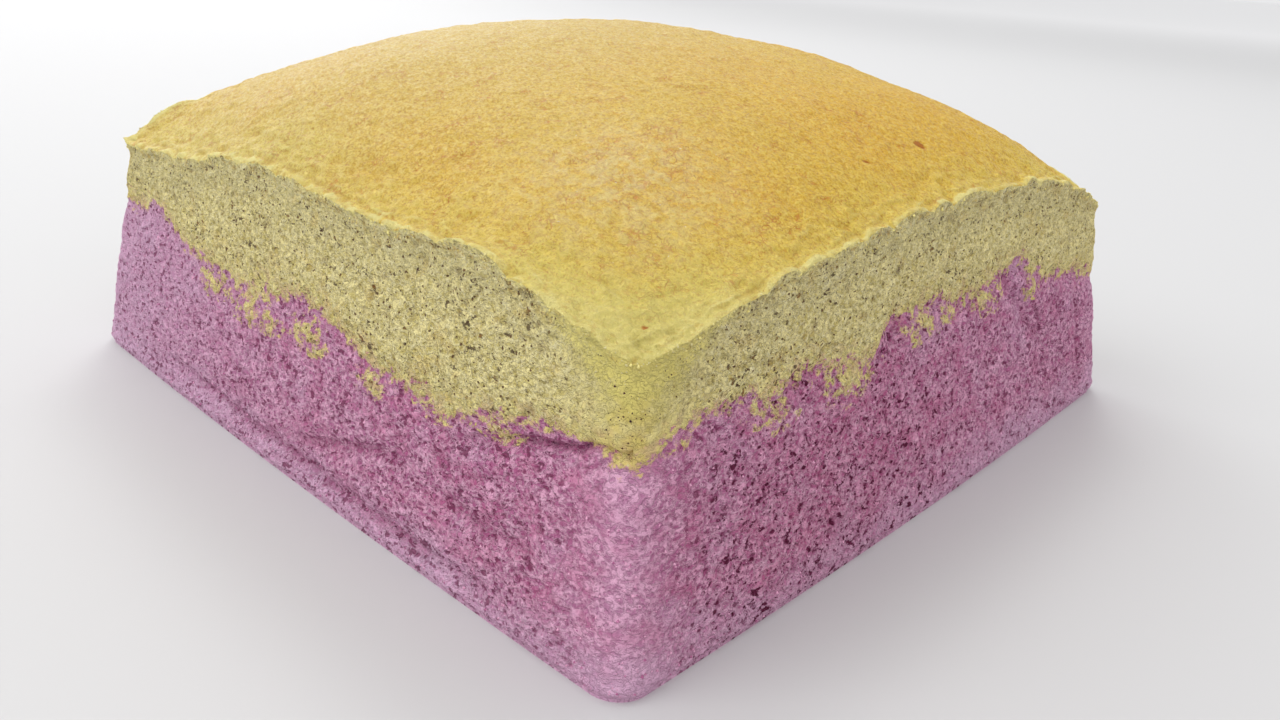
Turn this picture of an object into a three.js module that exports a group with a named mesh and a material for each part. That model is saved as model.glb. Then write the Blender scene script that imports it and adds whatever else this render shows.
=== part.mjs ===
// A two-layer castella sponge cake, baked in a square tin and turned out whole.
// Millimetres, +Z up. The origin is the middle of the underside, and the cake rests on z = 0.
//
// The cake is described on a unit plan: u runs from the left side (-1) to the right side (+1),
// and v from the front side (-1) to the back side (+1). Each layer is a box whose grid is bent
// onto that plan between its lower and its upper surface.

import * as THREE from 'three';
import { mergeVertices } from 'three/addons/utils/BufferGeometryUtils.js';

// ---------------------------------------------------------------- driving dimensions

const FOOT_WIDTH = 200; // across the foot, from corner to corner of one side
const FOOT_BOW = 1.6; // how far the middle of each side swells past the line between its corners
const FOOT_ROUND = 1.1; // how far the wall tucks in where it meets the board
const FOOT_ROUND_HEIGHT = 1.4;
const WALL_LEAN = 0.1636; // every wall leans in by this much for each millimetre of height
const CORNER_RADIUS = 6; // of the four upright edges
const LAYER_GAP = 0.3; // between the two layers
const PINCH_DEPTH = 0.7; // the waist where the layers meet
const PINCH_HEIGHT = 3.5;
const RIM_FLARE = 1.1; // the baked rim stands out from the wall under it
const RIM_FLARE_HEIGHT = 2.6;
const DOME_RISE = 14.8; // the crust's height over the rim, in the middle of the cake
const DOME_SHOULDER = 3; // a larger power gives a flatter top with steeper shoulders
const DOME_TILT_U = -5.3; // the dome is higher on the left and a little higher at the front
const DOME_TILT_V = -1.6;

const GRID = 30; // cells across the plan
const GRID_EASE = 0.7; // 0 spaces the cells evenly, 1 crowds them most towards the walls
const LOWER_ROWS = 10;
const UPPER_ROWS = 6;
const FOOT_CROWDING = 1.25; // more rows near the foot than under the waist

// Heights along each side: [place along the side, height]. The corners are shared by two sides.
const RIM = {
  front: [[-1, 54], [-0.64, 56], [-0.23, 60.8], [0.22, 59], [0.62, 59.3], [0.81, 56.2], [1, 53]],
  right: [[-1, 53], [-0.8, 56.2], [-0.62, 59.2], [-0.35, 62.3], [0.08, 64.5], [0.4, 64.8],
    [0.67, 62.2], [0.9, 56.5], [1, 52.5]],
  back: [[-1, 53], [-0.85, 61.4], [-0.5, 62.4], [0, 68], [0.5, 64.4], [0.85, 59.8], [1, 52.5]],
  left: [[-1, 54], [-0.85, 62.7], [-0.5, 65.5], [0, 66.3], [0.5, 62.4], [0.85, 62.2], [1, 53]],
};

const WAIST = {
  front: [[-1, 40], [-0.72, 40.4], [-0.54, 36.2], [-0.28, 34.2], [0.07, 37.2], [0.385, 31.6],
    [0.68, 35.1], [0.88, 38.3], [1, 36.5]],
  right: [[-1, 36.5], [-0.8, 41], [-0.66, 39.6], [-0.45, 41.8], [-0.3, 38.8], [-0.16, 45.5],
    [0.02, 44.6], [0.2, 43.8], [0.38, 46], [0.56, 41.2], [0.84, 37.2], [1, 34]],
  back: [[-1, 38], [-0.62, 42], [-0.25, 37.5], [0.15, 41.5], [0.55, 39], [0.8, 36], [1, 34]],
  left: [[-1, 40], [-0.6, 42.5], [-0.2, 38.5], [0.25, 41], [0.65, 36.5], [1, 38]],
};

// Creases that the peeled lining left in the walls, each a straight valley from one
// [distance along the side, height] to another.
const CREASES = {
  front: [
    { from: [-56, 7], to: [12, 5.4], depth: 1.0, width: 2.2 },
    { from: [12, 5.4], to: [66, 4.4], depth: 1.0, width: 2.2 },
    { from: [4, 9], to: [40, 19], depth: 0.7, width: 3 },
    { from: [50, 15], to: [74, 17], depth: 0.7, width: 3 },
    { from: [58, 29], to: [87, 36], depth: 1.3, width: 2.6 },
  ],
  right: [
    { from: [34, 41], to: [81, 6], depth: 0.9, width: 2.8 },
    { from: [-14, 51], to: [-20, 42], depth: 0.9, width: 2.2 },
  ],
  back: [
    { from: [-60, 6], to: [30, 5], depth: 0.9, width: 2.2 },
    { from: [20, 24], to: [62, 15], depth: 0.8, width: 3 },
  ],
  left: [
    { from: [-30, 5], to: [58, 6], depth: 0.9, width: 2.2 },
    { from: [-52, 30], to: [-20, 17], depth: 0.8, width: 3 },
  ],
};

// ---------------------------------------------------------------- heights

function curveThrough(points) {
  const places = points.map((point) => point[0]);
  const heights = points.map((point) => point[1]);
  const curve = new THREE.CubicInterpolant(places, heights, 1);
  return (place) => curve.evaluate(place)[0];
}

// A surface stretched between its four side curves (a Coons patch).
function surfaceBetween(sides) {
  const front = curveThrough(sides.front);
  const right = curveThrough(sides.right);
  const back = curveThrough(sides.back);
  const left = curveThrough(sides.left);
  const mix = THREE.MathUtils.lerp;
  return (u, v) => {
    const across = (u + 1) / 2;
    const along = (v + 1) / 2;
    const frontToBack = mix(front(u), back(u), along);
    const leftToRight = mix(left(v), right(v), across);
    const frontCorners = mix(front(-1), front(1), across);
    const backCorners = mix(back(-1), back(1), across);
    return frontToBack + leftToRight - mix(frontCorners, backCorners, along);
  };
}

const rimHeight = surfaceBetween(RIM);
const waistHeight = surfaceBetween(WAIST);

function domeHeight(u, v) {
  const rise = DOME_RISE + DOME_TILT_U * u + DOME_TILT_V * v;
  const fallU = 1 - Math.abs(u) ** DOME_SHOULDER;
  const fallV = 1 - Math.abs(v) ** DOME_SHOULDER;
  return rise * fallU * fallV;
}

// ---------------------------------------------------------------- walls

// 1 at zero distance, fading to nothing a few widths away.
function fade(distance, width) {
  return Math.exp(-((distance / width) ** 2));
}

function distanceToCrease(crease, along, height) {
  const line = new THREE.Line3(
    new THREE.Vector3(crease.from[0], crease.from[1], 0),
    new THREE.Vector3(crease.to[0], crease.to[1], 0),
  );
  const place = new THREE.Vector3(along, height, 0);
  const nearest = line.closestPointToPoint(place, true, new THREE.Vector3());
  return nearest.distanceTo(place);
}

// How far a wall stands out from its plain leaning face.
function wallRelief(side, along, height, waist, rim) {
  const middle = 1 - (along / (FOOT_WIDTH / 2)) ** 2;
  const swell = FOOT_BOW * Math.max(middle, 0) * (1 - height / rim);
  const tuck = FOOT_ROUND * fade(height, FOOT_ROUND_HEIGHT);
  const pinch = PINCH_DEPTH * fade(height - waist, PINCH_HEIGHT);
  const flare = RIM_FLARE * fade(rim - height, RIM_FLARE_HEIGHT);
  let valleys = 0;
  for (const crease of CREASES[side]) {
    valleys += crease.depth * fade(distanceToCrease(crease, along, height), crease.width);
  }
  return swell + flare - tuck - pinch - valleys;
}

function roundCorner(x, y, half) {
  const limit = half - CORNER_RADIUS;
  const cornerX = THREE.MathUtils.clamp(x, -limit, limit);
  const cornerY = THREE.MathUtils.clamp(y, -limit, limit);
  const dx = x - cornerX;
  const dy = y - cornerY;
  if (dx === 0 || dy === 0) return [x, y];
  const shrink = Math.max(Math.abs(dx), Math.abs(dy)) / Math.hypot(dx, dy);
  return [cornerX + dx * shrink, cornerY + dy * shrink];
}

// Where a point of the unit plan lies in the cake at some height.
function planPoint(u, v, height) {
  const half = FOOT_WIDTH / 2 - WALL_LEAN * height;
  const [x, y] = roundCorner(u * half, v * half, half);
  const relief = (side, along) => {
    const [sideU, sideV] = {
      front: [u, -1],
      right: [1, v],
      back: [u, 1],
      left: [-1, v],
    }[side];
    return wallRelief(side, along, height, waistHeight(sideU, sideV), rimHeight(sideU, sideV));
  };
  const outRight = THREE.MathUtils.lerp(-relief('left', y), relief('right', y), (u + 1) / 2);
  const outBack = THREE.MathUtils.lerp(-relief('front', x), relief('back', x), (v + 1) / 2);
  return [x + outRight, y + outBack];
}

// ---------------------------------------------------------------- layers

function easeGrid(place) {
  return THREE.MathUtils.lerp(place, Math.sin((place * Math.PI) / 2), GRID_EASE);
}

// A closed layer between the heights floor(u, v) and roof(u, v). A point's share is 0 on the
// floor and 1 on the roof, and shift(u, v, share) then moves it straight up or down. A box splits
// its top cells along the other diagonal than its bottom cells, so one layer's box is turned by
// a right angle to make the facing sides of the two layers run parallel.
function layerGeometry({ rows, crowding, turn, floor, roof, shift }) {
  const box = new THREE.BoxGeometry(2, 2, 1, GRID, GRID, rows);
  box.rotateZ(turn);
  const position = box.getAttribute('position');
  for (let i = 0; i < position.count; i += 1) {
    const u = easeGrid(position.getX(i));
    const v = easeGrid(position.getY(i));
    const share = (position.getZ(i) + 0.5) ** crowding;
    const height = THREE.MathUtils.lerp(floor(u, v), roof(u, v), share);
    const [x, y] = planPoint(u, v, height);
    position.setXYZ(i, x, y, height + shift(u, v, share));
  }
  box.deleteAttribute('normal');
  box.deleteAttribute('uv');
  const closed = mergeVertices(box);
  closed.computeVertexNormals();
  return closed;
}

function lowerSponge() {
  const geometry = layerGeometry({
    rows: LOWER_ROWS,
    crowding: FOOT_CROWDING,
    turn: Math.PI / 2,
    floor: () => 0,
    roof: waistHeight,
    shift: (u, v, share) => (-LAYER_GAP / 2) * share,
  });
  const material = new THREE.MeshStandardMaterial({
    color: 0xb47a9c,
    roughness: 0.95,
    metalness: 0,
  });
  const mesh = new THREE.Mesh(geometry, material);
  mesh.name = 'lower_sponge';
  return mesh;
}

function upperSponge() {
  const geometry = layerGeometry({
    rows: UPPER_ROWS,
    crowding: 1,
    turn: 0,
    floor: waistHeight,
    roof: rimHeight,
    shift: (u, v, share) => THREE.MathUtils.lerp(LAYER_GAP / 2, domeHeight(u, v), share),
  });
  const material = new THREE.MeshStandardMaterial({
    color: 0xdcb958,
    roughness: 0.8,
    metalness: 0,
  });
  const mesh = new THREE.Mesh(geometry, material);
  mesh.name = 'upper_sponge';
  return mesh;
}

const cake = new THREE.Group();
cake.add(lowerSponge(), upperSponge());

export default cake;
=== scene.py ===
"""A two-layer castella sponge cake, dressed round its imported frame.

The frame's two solids give the form. Here each is replaced by fine meshes of the same form: porous
walls whose two colours meet in a ragged line, a domed crust with a thin folded lip, and the loose
crumbs and flecks on them. Lengths in the functions are millimetres; meshes are made in metres.
"""
import itertools
from functools import partialmethod, reduce

import bpy
import numpy as np
from mathutils import Matrix, Vector


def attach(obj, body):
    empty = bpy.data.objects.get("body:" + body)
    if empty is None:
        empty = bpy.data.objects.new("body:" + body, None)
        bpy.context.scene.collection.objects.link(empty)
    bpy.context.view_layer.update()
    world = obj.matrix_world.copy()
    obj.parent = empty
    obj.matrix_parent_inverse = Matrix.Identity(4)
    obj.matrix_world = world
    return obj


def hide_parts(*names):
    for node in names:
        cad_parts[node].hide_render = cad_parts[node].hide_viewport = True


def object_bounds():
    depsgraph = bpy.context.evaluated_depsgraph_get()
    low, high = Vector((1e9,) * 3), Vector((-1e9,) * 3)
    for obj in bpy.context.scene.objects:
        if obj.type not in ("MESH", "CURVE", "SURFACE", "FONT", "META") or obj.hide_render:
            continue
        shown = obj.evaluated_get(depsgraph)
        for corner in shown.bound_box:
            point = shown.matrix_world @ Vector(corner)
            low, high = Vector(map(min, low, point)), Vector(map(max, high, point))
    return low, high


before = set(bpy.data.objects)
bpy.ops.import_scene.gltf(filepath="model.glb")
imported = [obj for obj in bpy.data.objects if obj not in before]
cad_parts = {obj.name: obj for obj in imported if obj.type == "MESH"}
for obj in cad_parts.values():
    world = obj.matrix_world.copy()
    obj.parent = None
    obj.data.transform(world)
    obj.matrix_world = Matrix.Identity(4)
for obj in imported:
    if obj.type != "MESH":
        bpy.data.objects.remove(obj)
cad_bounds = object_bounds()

MM = 0.001

# ---- the form, as in the solids

FOOT_WIDTH = 200
FOOT_BOW = 1.6
FOOT_ROUND = 1.1
FOOT_ROUND_HEIGHT = 1.4
WALL_LEAN = 0.1636
CORNER_RADIUS = 6
PINCH_DEPTH = 0.7
PINCH_HEIGHT = 3.5
RIM_FLARE = 0.5  # less than the solids have, for the lip stands on it
RIM_FLARE_HEIGHT = 2.6
DOME_RISE = 14.8
DOME_SHOULDER = 3
DOME_TILT_U = -5.3
DOME_TILT_V = -1.6

SIDES = ("front", "right", "back", "left")

# Heights along each side: (place along the side, height).
RIM = {
    "front": [(-1, 54), (-0.64, 56), (-0.23, 60.8), (0.22, 59), (0.62, 59.3), (0.81, 56.2), (1, 53)],
    "right": [(-1, 53), (-0.8, 56.2), (-0.62, 59.2), (-0.35, 62.3), (0.08, 64.5), (0.4, 64.8),
              (0.67, 62.2), (0.9, 56.5), (1, 52.5)],
    "back": [(-1, 53), (-0.85, 61.4), (-0.5, 62.4), (0, 68), (0.5, 64.4), (0.85, 59.8), (1, 52.5)],
    "left": [(-1, 54), (-0.85, 62.7), (-0.5, 65.5), (0, 66.3), (0.5, 62.4), (0.85, 62.2), (1, 53)],
}
WAIST = {
    "front": [(-1, 40), (-0.72, 40.4), (-0.54, 36.2), (-0.28, 34.2), (0.07, 37.2), (0.385, 31.6),
              (0.68, 35.1), (0.88, 38.3), (1, 36.5)],
    "right": [(-1, 36.5), (-0.8, 41), (-0.66, 39.6), (-0.45, 41.8), (-0.3, 38.8), (-0.16, 45.5),
              (0.02, 44.6), (0.2, 43.8), (0.38, 46), (0.56, 41.2), (0.84, 37.2), (1, 34)],
    "back": [(-1, 38), (-0.62, 42), (-0.25, 37.5), (0.15, 41.5), (0.55, 39), (0.8, 36), (1, 34)],
    "left": [(-1, 40), (-0.6, 42.5), (-0.2, 38.5), (0.25, 41), (0.65, 36.5), (1, 38)],
}

# Creases in the walls: (distance along the side, height) of both ends, depth and half width.
CREASES = {
    "front": [
        ((-56, 7), (12, 5.4), 1.0, 2.2), ((12, 5.4), (66, 4.4), 1.0, 2.2),
        ((4, 9), (40, 19), 0.7, 3), ((50, 15), (74, 17), 0.7, 3), ((58, 29), (87, 36), 1.3, 2.6),
    ],
    "right": [
        ((34, 41), (81, 6), 0.9, 2.8), ((-14, 51), (-20, 42), 0.9, 2.2),
    ],
    "back": [
        ((-60, 6), (30, 5), 0.9, 2.2), ((20, 24), (62, 15), 0.8, 3),
    ],
    "left": [
        ((-30, 5), (58, 6), 0.9, 2.2), ((-52, 30), (-20, 17), 0.8, 3),
    ],
}


def curve_through(points):
    """The solids' smooth curve: each point's slope is the mean of its two chords'."""
    places, heights = np.array(points, float).T
    chords = np.diff(heights) / np.diff(places)
    slopes = np.concatenate([chords[:1], (chords[1:] + chords[:-1]) / 2, chords[-1:]])

    def height(place):
        i = np.clip(np.searchsorted(places, place, side="right") - 1, 0, len(places) - 2)
        step = places[i + 1] - places[i]
        t = (place - places[i]) / step
        start = (2 * t**3 - 3 * t**2 + 1) * heights[i] + (t**3 - 2 * t**2 + t) * step * slopes[i]
        end = (3 * t**2 - 2 * t**3) * heights[i + 1] + (t**3 - t**2) * step * slopes[i + 1]
        return start + end

    return height


def mix(a, b, share):
    return a + (b - a) * share


def surface_between(sides):
    """The height of a surface stretched between its four side curves."""
    front, right, back, left = (curve_through(sides[side]) for side in SIDES)

    def height(u, v):
        across, along = (u + 1) / 2, (v + 1) / 2
        front_to_back = mix(front(u), back(u), along)
        left_to_right = mix(left(v), right(v), across)
        front_corners = mix(front(-1.0), front(1.0), across)
        corners = mix(front_corners, mix(back(-1.0), back(1.0), across), along)
        return front_to_back + left_to_right - corners

    return height


rim_height = surface_between(RIM)
waist_height = surface_between(WAIST)


def dome_height(u, v):
    rise = DOME_RISE + DOME_TILT_U * u + DOME_TILT_V * v
    return rise * (1 - np.abs(u) ** DOME_SHOULDER) * (1 - np.abs(v) ** DOME_SHOULDER)


def fade(distance, width):
    """1 at zero distance, fading to nothing a few widths away."""
    return np.exp(-((distance / width) ** 2))


def distance_to_line(x, y, start, end):
    along = np.subtract(end, start).astype(float)
    share = ((x - start[0]) * along[0] + (y - start[1]) * along[1]) / (along @ along)
    share = np.clip(share, 0, 1)
    return np.hypot(x - start[0] - share * along[0], y - start[1] - share * along[1])


def wall_relief(side, along, height, waist, rim):
    """How far a wall stands out from its plain leaning face."""
    middle = np.maximum(1 - (along / (FOOT_WIDTH / 2)) ** 2, 0)
    out = FOOT_BOW * middle * (1 - height / rim)
    out = out - FOOT_ROUND * fade(height, FOOT_ROUND_HEIGHT)
    out = out - PINCH_DEPTH * fade(height - waist, PINCH_HEIGHT)
    out = out + RIM_FLARE * fade(rim - height, RIM_FLARE_HEIGHT)
    for start, end, depth, width in CREASES[side]:
        out = out - depth * fade(distance_to_line(along, height, start, end), width)
    return out


def round_corner(x, y, half):
    limit = half - CORNER_RADIUS
    corner_x, corner_y = np.clip(x, -limit, limit), np.clip(y, -limit, limit)
    dx, dy = x - corner_x, y - corner_y
    longest = np.maximum(np.abs(dx), np.abs(dy))
    shrink = np.where((dx != 0) & (dy != 0), longest / np.maximum(np.hypot(dx, dy), 1e-9), 1)
    return corner_x + dx * shrink, corner_y + dy * shrink


def plan_point(u, v, height):
    """Where a point of the unit plan lies in the cake at some height."""
    half = FOOT_WIDTH / 2 - WALL_LEAN * height
    x, y = round_corner(u * half, v * half, half)
    one = np.ones_like(u)

    def out(side, side_u, side_v, along):
        waist, rim = waist_height(side_u, side_v), rim_height(side_u, side_v)
        return wall_relief(side, along, height, waist, rim)

    out_x = mix(-out("left", -one, v, y), out("right", one, v, y), (u + 1) / 2)
    out_y = mix(-out("front", u, -one, x), out("back", u, one, x), (v + 1) / 2)
    return x + out_x, y + out_y


def surface_points(u, v, height):
    return np.stack([*plan_point(u, v, height), height], -1)


# ---- noise and pores

def cell_value(cells, seed):
    """A repeatable random number from 0 to 1 for each whole-number cell."""
    x, y, z = (cells[..., i].astype(np.uint32) for i in range(3))
    mixed = x * np.uint32(374761393) + y * np.uint32(668265263) + z * np.uint32(2147483647)
    mixed = mixed + np.uint32(seed * 1274126177 % 2**32)
    mixed = (mixed ^ (mixed >> np.uint32(13))) * np.uint32(1274126177)
    mixed = (mixed ^ (mixed >> np.uint32(15))) * np.uint32(2246822519)
    return ((mixed ^ (mixed >> np.uint32(16))) & np.uint32(0xFFFFFF)) / 0xFFFFFF


def noise(points, size, seed):
    """Smooth noise from -1 to 1 whose bumps are about `size` millimetres across."""
    place = points / size
    cell = np.floor(place)
    part = place - cell
    ease = part * part * (3 - 2 * part)
    cell = cell.astype(np.int64)
    total = np.zeros(points.shape[:-1])
    for corner in itertools.product((0, 1), repeat=3):
        weight = np.prod(np.where(corner, ease, 1 - ease), axis=-1)
        total += weight * cell_value(cell + np.array(corner), seed)
    return 2 * total - 1


def noises(points, *kinds):
    """A sum of noises, each given as its height, its size and its seed."""
    return sum(height * noise(points, size, seed) for height, size, seed in kinds)


def line_noise(side, along, size, seed):
    """Noise along one side of the cake, from -1 to 1."""
    place = np.broadcast_arrays(along, size * (0.5 + 3 * SIDES.index(side)), 0)
    return noise(np.stack(place, -1), size, seed)


def pore_depth(points, spacing, radii, chance, seed):
    """How deep holes are at each point, strewn one to a cell of the spacing."""
    cell = np.floor(points / spacing).astype(np.int64)
    depth = np.zeros(points.shape[:-1])
    for step in itertools.product((-1, 0, 1), repeat=3):
        near = cell + np.array(step)
        jitter = np.stack([cell_value(near, seed + axis) for axis in range(3)], -1)
        radius = mix(radii[0], radii[1], cell_value(near, seed + 3) ** 2)
        away = np.linalg.norm(points - (near + jitter) * spacing, axis=-1)
        hole = np.sqrt(np.maximum(radius**2 - away**2, 0))
        depth = np.maximum(depth, np.where(cell_value(near, seed + 4) < chance, hole, 0))
    return depth


# ---- the plan's grid

CRUST_CELLS = 280
WALL_CELLS = 2 * CRUST_CELLS  # along each side
EDGE_CROWDING = 2.4
EDGE_REACH = 5
RIM_HALF = 91
# The corners of the unit plan, as they stand in the photo.
LEFT_CORNER, FRONT_CORNER, RIGHT_CORNER = (-1, -1), (1, -1), (1, 1)
PAINTED_HAZE_PLACE = (-1.1, -1.1)  # where painted haze makes the walls palest
SURFACE_DROP = 0.3  # makes room for the bumps between the surface and the solids' form


def side_places():
    """Places along a side from -1 to 1, closer together near its ends."""
    fine = np.linspace(-1, 1, 4001)
    density = 1 + EDGE_CROWDING * fade((1 - np.abs(fine)) * RIM_HALF, EDGE_REACH)
    total = np.concatenate([[0], np.cumsum((density[1:] + density[:-1]) / 2)])
    return np.interp(np.linspace(0, total[-1], WALL_CELLS + 1), total, fine)


def perimeter():
    """The unit plan's edge, counter-clockwise from the front left corner."""
    t = side_places()[:-1]
    one = np.ones_like(t)
    return np.concatenate([t, one, -t, -one]), np.concatenate([-one, t, one, -t])


def inside_box(points):
    """The points, none of them outside the CAD model's box."""
    low, high = np.array(cad_bounds) / MM
    return np.clip(points, low, high)


def unit(vectors):
    return vectors / np.maximum(np.linalg.norm(vectors, axis=-1, keepdims=True), 1e-9)


def grid_normals(points, wrap):
    """Unit normals of a grid of points (rows, columns, 3)."""
    if wrap:
        across = np.roll(points, -1, 1) - np.roll(points, 1, 1)
    else:
        across = np.gradient(points, axis=1)
    return unit(np.cross(across, np.gradient(points, axis=0)))


def side_distances(u, v):
    """For each side: how far inside it a point lies, and its place along it."""
    places = {"front": (1 + v, u), "right": (1 - u, v), "back": (1 - v, u), "left": (1 + u, v)}
    return {
        side: (inside * RIM_HALF, along * RIM_HALF) for side, (inside, along) in places.items()
    }


# ---- the rim's fine shape

# The rim hangs in shallow arcs between low points. The front's low points are named, the others
# are strewn.
FRONT_CUSPS = [-91, -76, -61, -47, -30, -13, 0, 15, 30, 43, 62, 72, 77, 84, 91]
FRONT_ARCS = [0.7, 0.9, 0.5, 1.4, 1.0, 0.8, 0.7, 0.6, 1.0, 1.9, 1.0, 0.7, 0.9, 0.5]
SCALLOP_LENGTH = (7, 20)
SCALLOP_HEIGHT = (0.3, 1.6)
SCALLOP_REACH = 3.5
RIM_DROP = 0.5
LIP_HEIGHT = 0.55
LIP_OUTWARD = 0.8  # for each 1 upward
LIP_TURN = 6  # how near a corner the lip turns from one side's way to the other's
FOLDS_BEHIND_LIP = (2.3, 3.6, 5.2, 7.6)  # how far inside the rim each one runs


def strewn_arcs(seed):
    draw = np.random.default_rng(seed)
    cusps = [-RIM_HALF]
    while cusps[-1] < RIM_HALF:
        cusps.append(cusps[-1] + draw.uniform(*SCALLOP_LENGTH))
    return cusps, draw.uniform(*SCALLOP_HEIGHT, len(cusps) - 1)


def scallops(cusps, heights):
    """The height of the arcs between their low points, along one side."""
    cusps, heights = np.array(cusps, float), np.array(heights, float)

    def height(along):
        i = np.clip(np.searchsorted(cusps, along) - 1, 0, len(cusps) - 2)
        part = np.clip((along - cusps[i]) / (cusps[i + 1] - cusps[i]), 0, 1)
        near_corner = np.clip((RIM_HALF - np.abs(along)) / 10, 0, 1)
        return heights[i] * (4 * part * (1 - part)) ** 0.7 * near_corner

    return height


scallop_of = {side: scallops(*strewn_arcs(12 + k)) for k, side in enumerate(SIDES[1:])}
scallop_of["front"] = scallops(FRONT_CUSPS, FRONT_ARCS)


def fine_rim(u, v):
    """The rim's height, with its scallops that die out inside the cake."""
    height = rim_height(u, v) - RIM_DROP
    for side, (inside, along) in side_distances(u, v).items():
        height = height + scallop_of[side](along) * fade(inside, SCALLOP_REACH)
    return height


def near_place(u, v, place, reach):
    """1 at a place of the unit plan, fading to nothing round it."""
    return fade(np.hypot(u - place[0], v - place[1]) * RIM_HALF, reach)


def rim_direction(u, v):
    """Up and out over the rim: the way its lip grows."""
    out_u, out_v = (np.sign(w) * fade((1 - np.abs(w)) * RIM_HALF, LIP_TURN) for w in (u, v))
    outward = unit(np.stack([out_u, out_v, np.zeros_like(u)], -1))
    return unit(outward * LIP_OUTWARD + np.array([0, 0, 1.0]))


def crest(side, inside, along, below):
    """The lip and the folds behind it, at a distance inside the rim or below it."""

    def bumps(size, seed):
        return line_noise(side, along, size, seed)

    wobble = 0.5 * bumps(3, 53) + 0.3 * bumps(1.3, 50)
    lumps = 0.5 + 0.6 * bumps(6, 51) + 0.5 * bumps(1.8, 52)
    height = LIP_HEIGHT * np.clip(lumps, 0, 1.3) * fade(inside - 0.4 - 0.5 * wobble, 0.6)
    behind = 0.3 * np.clip(0.5 + bumps(5, 49), 0, 1)
    height = height - behind * fade(inside - 1.5 - 0.5 * wobble, 0.4)
    for number, away in enumerate(FOLDS_BEHIND_LIP):
        path = away + away * 0.35 * bumps(11, 54 + number) + wobble
        strength = np.clip(0.15 + 1.4 * bumps(7, 90 + number), 0, 1)
        height = height + 0.28 * strength * fade(inside - path, 0.4)
        height = height - 0.15 * strength * fade(inside - path - 0.8, 0.35)
    return height * fade(below, 0.55)


def all_crests(u, v, below):
    """The strongest of the four sides' crests at each point."""
    sides = side_distances(u, v).items()
    heights = np.stack([crest(side, inside, along, below) for side, (inside, along) in sides])
    strongest = np.abs(heights).argmax(0)
    return np.take_along_axis(heights, strongest[None], 0)[0]


def rim_flakes(points, u, v, rim_distance):
    """The torn edge of the skin: ragged bumps, and flakes that stand out."""
    flap = 1.6 * near_place(u, v, LEFT_CORNER, 2.6) * fade(rim_distance, 1.2)
    at_corner = near_place(u, v, RIGHT_CORNER, 22)
    at_side = {side: fade(inside, 7) for side, (inside, along) in side_distances(u, v).items()}
    calm = np.max([at_side["left"], at_side["back"], 0.6 * at_side["right"], at_corner], axis=0)
    quiet = 1 - 0.7 * calm
    ragged = noises(points, (0.45, 1.9, 58), (0.35, 1.0, 59)) * quiet
    flakes = 1.5 * np.clip(noise(points, 2.6, 57) - 0.15, 0, 1) * quiet
    return ragged * fade(rim_distance, 1.3) + flakes * fade(rim_distance, 0.8) + flap


def grow(points, normal, push, lip, u, v, rim_distance):
    """Moves points along their normals, but near the rim along its own direction."""
    at_rim = fade(rim_distance, 1.3)[..., None]
    moved = points + normal * push[..., None] * (1 - at_rim)
    return inside_box(moved + rim_direction(u, v) * lip[..., None])


# ---- walls

LOWER_ROWS = 84
UPPER_ROWS = 50
FOOT_CROWDING = 1.1
RIM_CROWDING = 1.35
CRUMB_SQUASH = (1, 1, 1.4)  # pores and grains are this much lower than wide
PORE_SHARE = 0.8  # of a pore's depth
YELLOW_SWELL = 0.25  # the yellow crumb stands this much proud of the purple
FOOT_SETTLES_WITHIN = 3  # the foot is plain, and its bumps grow over this height
UNDERCUT_DEPTH = 0.4
UNDERCUT_PLACE = 1.9  # below the rim
UNDERCUT_WIDTH = 0.9
PORES = [
    dict(spacing=6.4, radii=(0.5, 1.2), chance=0.35, seed=21),
    dict(spacing=2.3, radii=(0.4, 0.75), chance=0.5, seed=31),
    dict(spacing=1.25, radii=(0.3, 0.5), chance=0.6, seed=37),
]

# Narrow folds: the (distance along the side, height) of each one's bends, depth and half width.
FOLDS = {
    "front": [
        ([(46, 28), (55, 29), (66, 32)], 0.5, 0.8),
        ([(63, 31), (76, 35), (87, 38), (96, 40)], 1.4, 0.7),
        ([(-52, 7), (12, 5.4), (60, 4.4)], 0.8, 0.8), ([(4.5, 9), (26, 16), (39, 19)], 0.8, 1.1),
        ([(52, 16), (63, 15), (73, 17)], 0.7, 1.1), ([(40, 24), (56, 23), (70, 26)], 0.5, 1.0),
        ([(-17, 25), (-18, 19)], 0.4, 0.6), ([(-75, 56), (-75.6, 48)], 0.6, 0.6),
    ],
    "right": [
        ([(31, 45), (50, 28), (70, 10)], 0.6, 0.8), ([(-17, 50), (-24.6, 44)], 0.25, 0.8),
        ([(38, 36), (43, 16)], 0.5, 0.8), ([(47, 38), (53, 30), (58, 12)], 0.7, 0.7),
        ([(64, 36), (68, 26)], 0.6, 0.7), ([(76, 33), (83, 8)], 0.7, 0.8),
    ],
    "back": [
        ([(-60, 6), (-10, 5), (30, 5)], 0.7, 0.9), ([(20, 24), (44, 18), (62, 15)], 0.6, 0.9),
        ([(-50, 34), (-56, 14)], 0.35, 0.9), ([(-38, 30), (-42, 12)], 0.35, 0.8),
    ],
    "left": [
        ([(-30, 5), (10, 6), (58, 6)], 0.7, 0.9), ([(-52, 30), (-38, 23), (-20, 17)], 0.7, 0.8),
        ([(46, 34), (52, 12)], 0.35, 0.9), ([(60, 30), (63, 16)], 0.35, 0.8),
    ],
}

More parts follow.
